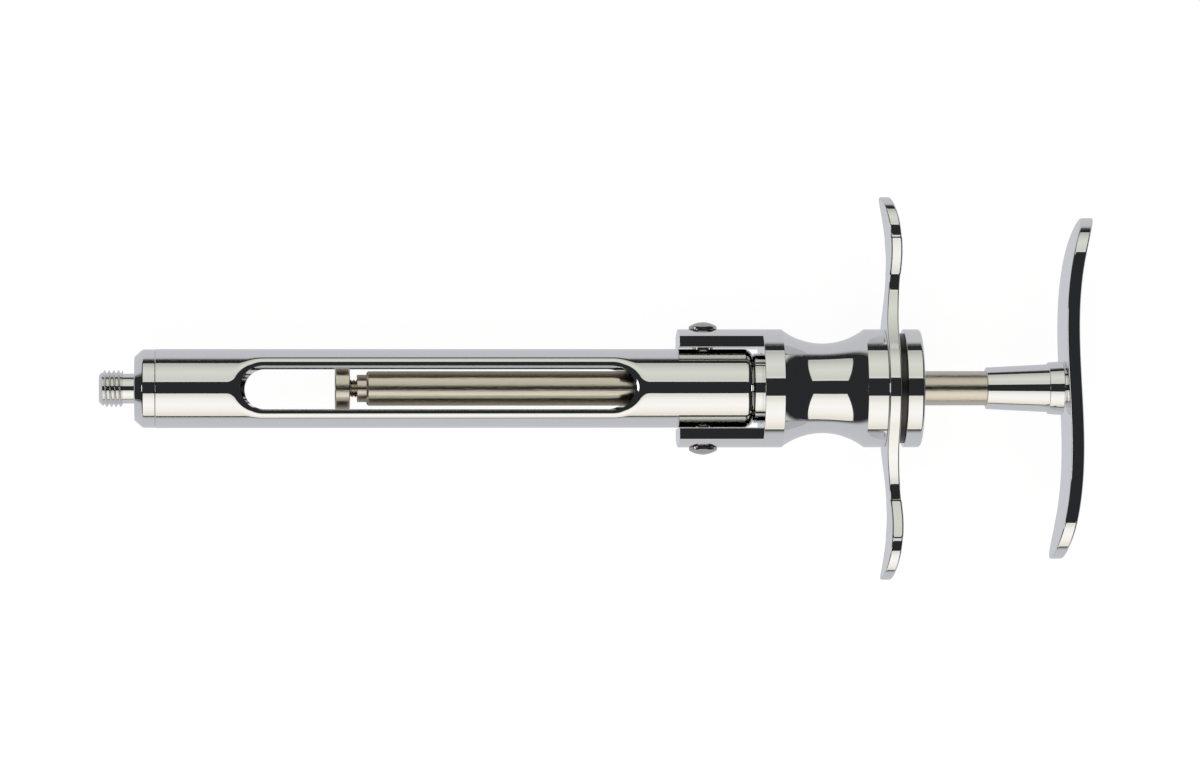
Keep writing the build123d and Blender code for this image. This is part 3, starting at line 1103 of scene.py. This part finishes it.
def whole(quarter):
    """The outline round a plate from one quarter of it, which runs from the Z axis to the Y axis."""
    ring = quarter[:-1]
    ring += [Vector((p.x, -p.y)) for p in reversed(quarter[1:])]
    ring += [Vector((-p.x, -p.y)) for p in quarter[:-1]]
    ring += [Vector((-p.x, p.y)) for p in reversed(quarter[1:])]
    outline = []
    for i, p in enumerate(ring):
        along = ring[(i + 1) % len(ring)] - ring[i - 1]
        out = Vector((-along.y, along.x)).normalized()
        outline.append((p, out if out.dot(p) > 0 else -out))
    return outline


grip = Skin()
plate(
    grip,
    whole(quarter),
    front=bent(bends[0]),
    back=bent(bends[1]),
    front_edge=plate_edge,
    back_edge=plate_edge,
    spacing=plate_spacing,
    holes=[circle(plate_hole)],
)
grip.build("finger_rest", chrome, "handle")

# Finger rest washer
# A flat ring of dull, darkened steel between the finger rest and the end nut.
washer_low, washer_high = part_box("finger_rest_washer")
washer_edge = 0.1 * MM
washer = Skin()
turn(
    washer,
    profile(
        (washer_low.x, plate_hole),
        (washer_low.x, washer_high.y, washer_edge),
        (washer_high.x, washer_high.y, washer_edge),
        (washer_high.x, plate_hole),
        (washer_low.x, plate_hole),
    ),
)
dark_steel = ground_steel("washer_steel", tint=(0.07, 0.065, 0.06), roughness=0.32)
washer.build("finger_rest_washer", dark_steel, "handle")

# Plunger rod
# A steel rod ground and brushed along its length to a satin finish, turned down to a collar at
# its front and tapped for the tip's stud.
rod_low, rod_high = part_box("plunger_rod")
rod_radius = rod_high.y
collar_radius = 2.23 * MM
collar_length = 1.55 * MM
collar_edge = 0.08 * MM
rod_shoulder = rod_low.x + collar_length
rod_bevel = 0.3 * MM
rod_bevel_edge = 0.15 * MM
tapped_radius = 1.51 * MM
tapped_depth = 6.3 * MM
centre = 0.0001 * MM

rod = Skin()
turn(
    rod,
    profile(
        (rod_low.x, tapped_radius),
        (rod_low.x, collar_radius, collar_edge),
        (rod_shoulder, collar_radius),
        (rod_shoulder, rod_radius - rod_bevel),
        (rod_shoulder + rod_bevel, rod_radius, rod_bevel_edge),
        (rod_high.x - rod_bevel, rod_radius, rod_bevel_edge),
        (rod_high.x, rod_radius - rod_bevel),
        (rod_high.x, centre),
    ),
)
turn(
    rod,
    profile(
        (rod_low.x + tapped_depth, centre),
        (rod_low.x + tapped_depth, tapped_radius),
        (rod_low.x, tapped_radius),
    ),
)


def brushed_steel(name, tint, roughness):
    """Satin steel with long fine lines along the X axis."""
    finish = Finish(name)
    lines = finish.noise((120, 9000, 9000), detail=8, roughness=0.7)
    streaks = finish.noise((25, 1500, 1500), detail=4)
    bump = {"Height": lines, "Strength": 0.5, "Distance": 0.00004}
    finish.set(
        Base_Color=finish.mix(streaks, tuple(c * 0.85 for c in tint) + (1,), tint + (1,)),
        Metallic=1.0,
        Roughness=lines * 0.16 + (roughness - 0.08),
        Normal=finish.node("ShaderNodeBump", inputs=bump),
    )
    return finish.material


satin_steel = brushed_steel("satin_steel", tint=(0.68, 0.62, 0.53), roughness=0.18)
rod.build("plunger_rod", satin_steel, "plunger")

# Piston tip
# A turned disc that presses the cartridge's stopper, on a stud with an M3 thread that screws
# into the rod. The thread shows as a short dark neck.
disc_low, disc_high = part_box("piston_tip")
disc_radius = disc_high.y
disc_length = 2.43 * MM
disc_rear = disc_low.x + disc_length
disc_rounding = 0.2 * MM
stud_radius = 1.48 * MM
stud_core = 1.24 * MM
stud_pitch = 0.5 * MM
stud_middle = (stud_radius + stud_core) / 2
stud_wave = (stud_radius - stud_core) / 2
stud_thread_end = rod_low.x + 2 * stud_pitch
stud_rows = 48
stud_segments = 96

tip_disc = Skin()
turn(
    tip_disc,
    profile(
        (disc_low.x, centre),
        (disc_low.x, disc_radius, disc_rounding),
        (disc_rear, disc_radius, disc_rounding),
        (disc_rear, stud_core),
    ),
)
turn(tip_disc, profile((stud_thread_end, stud_core), (disc_high.x, stud_core), (disc_high.x, centre)))
rows = []
for row in range(stud_rows + 1):
    x = disc_rear + (stud_thread_end - disc_rear) * row / stud_rows
    ring = []
    for k in range(stud_segments):
        a = 2 * math.pi * k / stud_segments
        wave = 2 * math.pi * x / stud_pitch - a
        r = stud_middle + stud_wave * math.cos(wave)
        slope = -stud_wave * math.sin(wave)
        out = Vector((0, math.cos(a), math.sin(a)))
        along = Vector((0, -math.sin(a), math.cos(a)))
        normal = out + along * slope / r - Vector((slope * 2 * math.pi / stud_pitch, 0, 0))
        ring.append((Vector((x, 0, 0)) + out * r, normal))
    rows.append(ring)
tip_disc.grid(rows, closed=True)
tip_disc.build("piston_tip", satin_steel, "plunger")

# Rod socket
# A slightly conical turned sleeve over the rod's end, with a flared ring behind it and a rivet
# end that holds the thumb rest. Chrome plated.
socket_low, socket_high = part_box("rod_socket")
socket_length = 10.2 * MM
socket_radii = (3.41 * MM, 3.93 * MM)
socket_edge = 0.15 * MM
socket_seat = rod_radius + seat_play
socket_floor = rod_high.x + seat_play
boss_length = 2.45 * MM
boss_radii = (4.23 * MM, 4.43 * MM)
boss_edge = 0.12 * MM
neck_length = 0.35 * MM
rivet_neck = 3.2 * MM
rivet_radius = 2.2 * MM
rivet_edge = 0.1 * MM
socket_rear = socket_low.x + socket_length
boss_rear = socket_rear + boss_length
rest_front = boss_rear + neck_length

socket = Skin()
turn(
    socket,
    profile(
        (socket_floor, centre),
        (socket_floor, socket_seat),
        (socket_low.x, socket_seat),
        (socket_low.x, socket_radii[0], socket_edge),
        (socket_rear, socket_radii[1]),
        (socket_rear, boss_radii[0], boss_edge),
        (boss_rear, boss_radii[1], boss_edge),
        (boss_rear, rivet_neck),
        (rest_front, rivet_neck),
        (rest_front, rivet_radius),
        (socket_high.x, rivet_radius, rivet_edge),
        (socket_high.x, centre),
    ),
)
socket.build("rod_socket", chrome, "plunger")

# Thumb rest
# An oblong steel plate with round ends, bent to an S, its edges rounded and polished before
# plating. The socket's rivet end is spread in its middle.
thumb_low, thumb_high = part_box("thumb_rest")
thumb_half = thumb_high.y
thumb_width = thumb_high.z - thumb_low.z
thumb_thickness = 2.15 * MM
thumb_middle = rest_front + thumb_thickness / 2
bend_reach = 30.75 * MM
bend_end = 3.83 * MM
bend_knee = 5.84 * MM
thumb_slope = 0.75 * (bend_knee - bend_end) / bend_reach
thumb_curl = (bend_end + thumb_slope * bend_reach) / bend_reach**3
thumb_edge = 0.35 * MM
thumb_hole = rivet_radius + seat_play
straight_steps = 40
round_steps = 36


def thumb_bend(facing):
    """The face of the thumb rest on one side, as x for each (y, z)."""
    return lambda p: thumb_middle + facing * thumb_thickness / 2 - thumb_slope * p.x + thumb_curl * p.x**3


end_radius = thumb_width / 2
end_middle = Vector((thumb_half - end_radius, 0))
quarter = [Vector((end_middle.x * k / straight_steps, end_radius)) for k in range(straight_steps)]
for k in range(round_steps + 1):
    a = math.pi / 2 * (1 - k / round_steps)
    quarter.append(end_middle + Vector((math.cos(a), math.sin(a))) * end_radius)
rest = Skin()
plate(
    rest,
    whole(quarter),
    front=thumb_bend(-1),
    back=thumb_bend(1),
    front_edge=thumb_edge,
    back_edge=thumb_edge,
    spacing=plate_spacing,
    holes=[circle(thumb_hole)],
)
rest.build("thumb_rest", chrome, "plunger")

# Floor
# A plain pale surface. The camera sees it white with the object's soft shadow. Metal shows a painted
# reflection in it instead: a glowing cool pale grey that gets darker away from the object on both sides.
floor_half = 4.0
floor_gap = 0.05 * MM
floor_height = cad_box[0][2] - floor_gap
white = (1, 1, 1, 1)
white_strength = 1.25
white_share = 0.7
square = ((-1, -1), (1, -1), (1, 1), (-1, 1))
# The painted reflection that metal shows, a glowing colour by metres beside the axis.
painted_reflection_stops = [
    (0.0, (0.62, 0.635, 0.68, 1)),
    (0.08, (0.60, 0.61, 0.64, 1)),
    (0.17, (0.30, 0.31, 0.32, 1)),
    (0.35, (0.08, 0.08, 0.08, 1)),
]


def scenery(name, points, faces, material):
    """A mesh that stands round the object and isn't part of it."""
    mesh = bpy.data.meshes.new(name)
    mesh.from_pydata(points, [], faces)
    mesh.materials.append(material)
    piece = bpy.data.objects.new(name, mesh)
    bpy.context.scene.collection.objects.link(piece)
    return piece


paper = Finish("floor_paper")
paper.set(Base_Color=(0.86, 0.86, 0.87, 1), Roughness=0.9)
lit = Wire(paper, paper.shader.outputs[0])
seen = paper.node("ShaderNodeEmission", inputs={"Color": white, "Strength": white_strength})
sideways = {0: paper.node("ShaderNodeTexCoord", output="Object"), 1: (0, 1, 0)}
beside = paper.node("ShaderNodeVectorMath", {"operation": "DOT_PRODUCT"}, sideways, output="Value")
pale = paper.node("ShaderNodeValToRGB", {"stops": painted_reflection_stops}, {"Fac": abs(beside)})
# Painted reflection: the floor glows this grey to glossy rays only, darker away from the object.
painted_reflection = paper.node("ShaderNodeEmission", inputs={"Color": pale, "Strength": 1.0})
camera_ray = paper.node("ShaderNodeLightPath", output="Is Camera Ray")
glossy_ray = paper.node("ShaderNodeLightPath", output="Is Glossy Ray")
bright = paper.node("ShaderNodeMixShader", inputs={0: camera_ray * white_share, 1: lit, 2: seen})
both = paper.node("ShaderNodeMixShader", inputs={0: glossy_ray, 1: bright, 2: painted_reflection})
paper.plug(paper.output.inputs["Surface"], both)
floor_corners = [(x * floor_half, y * floor_half, floor_height) for x, y in square]
floor = scenery("floor", floor_corners, [(0, 1, 2, 3)], paper.material)

# Studio
# Two broad soft boxes above the object, one on each side of the camera, a small far light off the
# nose, and a dark room around them, which polished metal shows between the boxes.
camera_side = math.radians(-1.9)
card_middle = Vector((77.7 * MM, 0, 0))
box_distance = 0.8
box_half_length = math.radians(33)
upper_stops = [
    (0.0, (0.78, 0.79, 0.73, 1)),
    (0.05, (0.54, 0.55, 0.50, 1)),
    (0.30, (0.72, 0.73, 0.67, 1)),
    (0.52, (0.82, 0.83, 0.76, 1)),
    (0.90, (0.73, 0.74, 0.67, 1)),
    (0.96, (0.82, 0.83, 0.78, 1)),
]
lower_stops = [
    (0.0, (1.05, 1.02, 0.93, 1)),
    (0.08, (0.94, 0.90, 0.80, 1)),
    (0.28, (1.11, 1.06, 0.98, 1)),
    (0.52, (1.18, 1.15, 1.14, 1)),
    (0.75, (1.10, 1.09, 1.03, 1)),
    (0.92, (0.90, 0.90, 0.84, 1)),
]
far_stops = [(0.0, white), (1.0, white)]
far_height = math.radians(16)
far_distance = 2.0
far_size = (0.4, 0.4)
far_strength = 2.5
room_radius = 3.0
room_levels = 24
room_sides = 64


def card(name, towards, distance, size, stops, strength=1.0):
    """A glowing rectangle that faces the middle of the object from a direction, one side along X.

    Its colour goes through the stops from its foot to its top.
    """
    towards = Vector(towards).normalized()
    along = Vector((1, 0, 0)) - towards * towards.x
    along.normalize()
    up = towards.cross(along)
    up *= 1 if up.z > 0 else -1
    middle = card_middle + towards * distance
    corners = [middle + along * (size[0] / 2 * u) + up * (size[1] / 2 * v) for u, v in square]
    glow = Finish(name)
    point = glow.node("ShaderNodeTexCoord", output="Object")
    offset = glow.node("ShaderNodeVectorMath", {"operation": "SUBTRACT"}, {0: point, 1: middle})
    lifted = {0: offset, 1: up}
    height = glow.node("ShaderNodeVectorMath", {"operation": "DOT_PRODUCT"}, lifted, output="Value")
    colour = glow.node("ShaderNodeValToRGB", {"stops": stops}, {"Fac": height * (1 / size[1]) + 0.5})
    light = glow.node("ShaderNodeEmission", inputs={"Color": colour, "Strength": strength})
    glow.plug(glow.output.inputs["Surface"], light)
    piece = scenery(name, corners, [(0, 1, 2, 3)], glow.material)
    piece.visible_camera = False


def soft_box(name, low, high, stops):
    """A card beside the camera, from one angle to the other away from it towards +Y, in degrees."""
    half = math.radians(abs(high - low) / 2)
    middle = math.radians((low + high) / 2) + camera_side
    size = (2 * box_distance * math.tan(box_half_length), 2 * box_distance * math.tan(half))
    card(name, (0, math.sin(middle), math.cos(middle)), box_distance, size, stops)


soft_box("upper_soft_box", low=19.5, high=79, stops=upper_stops)
soft_box("lower_soft_box", low=-14.5, high=-87, stops=lower_stops)
far_way = (-math.cos(far_height), 0, math.sin(far_height))
card("far_light", far_way, far_distance, far_size, far_stops, far_strength)

room_points = []
room_faces = []
for level in range(room_levels + 1):
    climb = math.pi / 2 * level / room_levels
    for k in range(room_sides):
        a = 2 * math.pi * k / room_sides
        out = Vector((math.cos(climb) * math.cos(a), math.cos(climb) * math.sin(a), math.sin(climb)))
        room_points.append(out * room_radius)
        if level:
            below, above = (level - 1) * room_sides, level * room_sides
            j = (k + 1) % room_sides
            room_faces.append((below + k, below + j, above + j, above + k))
room_paint = Finish("dark_room")
dark = room_paint.node("ShaderNodeEmission", inputs={"Color": (0.026, 0.027, 0.029, 1), "Strength": 1.0})
room_paint.plug(room_paint.output.inputs["Surface"], dark)
room = scenery("dark_room", room_points, room_faces, room_paint.material)
room.visible_camera = False
room.visible_diffuse = False

# World
# The air beyond the room: white to the camera and in glossy and see-through surfaces, and a weaker
# light on the rest.
air_strength = 0.4
world = bpy.data.worlds.new("studio")
world.use_nodes = True
bpy.context.scene.world = world
air = Tree(world.node_tree)
shown = air.node("ShaderNodeLightPath", output="Is Camera Ray")
for ray in ("Is Glossy Ray", "Is Transmission Ray"):
    shown = shown.maths("MAXIMUM", air.node("ShaderNodeLightPath", output=ray))
sky = air.nodes["Background"]
air.plug(sky.inputs["Color"], white)
air.plug(sky.inputs["Strength"], shown * (1 - air_strength) + air_strength)

# Camera
# A long lens almost straight above, as in the photo, leaning slightly to the nose's side.
camera_target = Vector((77.72, -0.26, 0)) * MM
camera_distance = 1050 * MM
camera_lens = 192.8
camera_lean = math.radians(3.2)
camera_roll = math.radians(-0.13)
camera_data = bpy.data.cameras.new("camera")
camera_data.sensor_width = 36
camera_data.lens = camera_lens
camera_data.clip_start = 0.05
camera_data.clip_end = 50
camera = bpy.data.objects.new("camera", camera_data)
bpy.context.scene.collection.objects.link(camera)
back = Vector((-math.tan(camera_lean), math.tan(camera_side), 1)).normalized()
right = Vector((0, 1, 0)).cross(back).normalized()
up = back.cross(right)
turned_right = right * math.cos(camera_roll) + up * math.sin(camera_roll)
turned_up = up * math.cos(camera_roll) - right * math.sin(camera_roll)
place = camera_target + back * camera_distance
axes = [(turned_right[i], turned_up[i], back[i], place[i]) for i in range(3)]
camera.matrix_world = Matrix(axes + [(0, 0, 0, 1)])
bpy.context.scene.camera = camera
bpy.context.scene.view_settings.view_transform = "Standard"
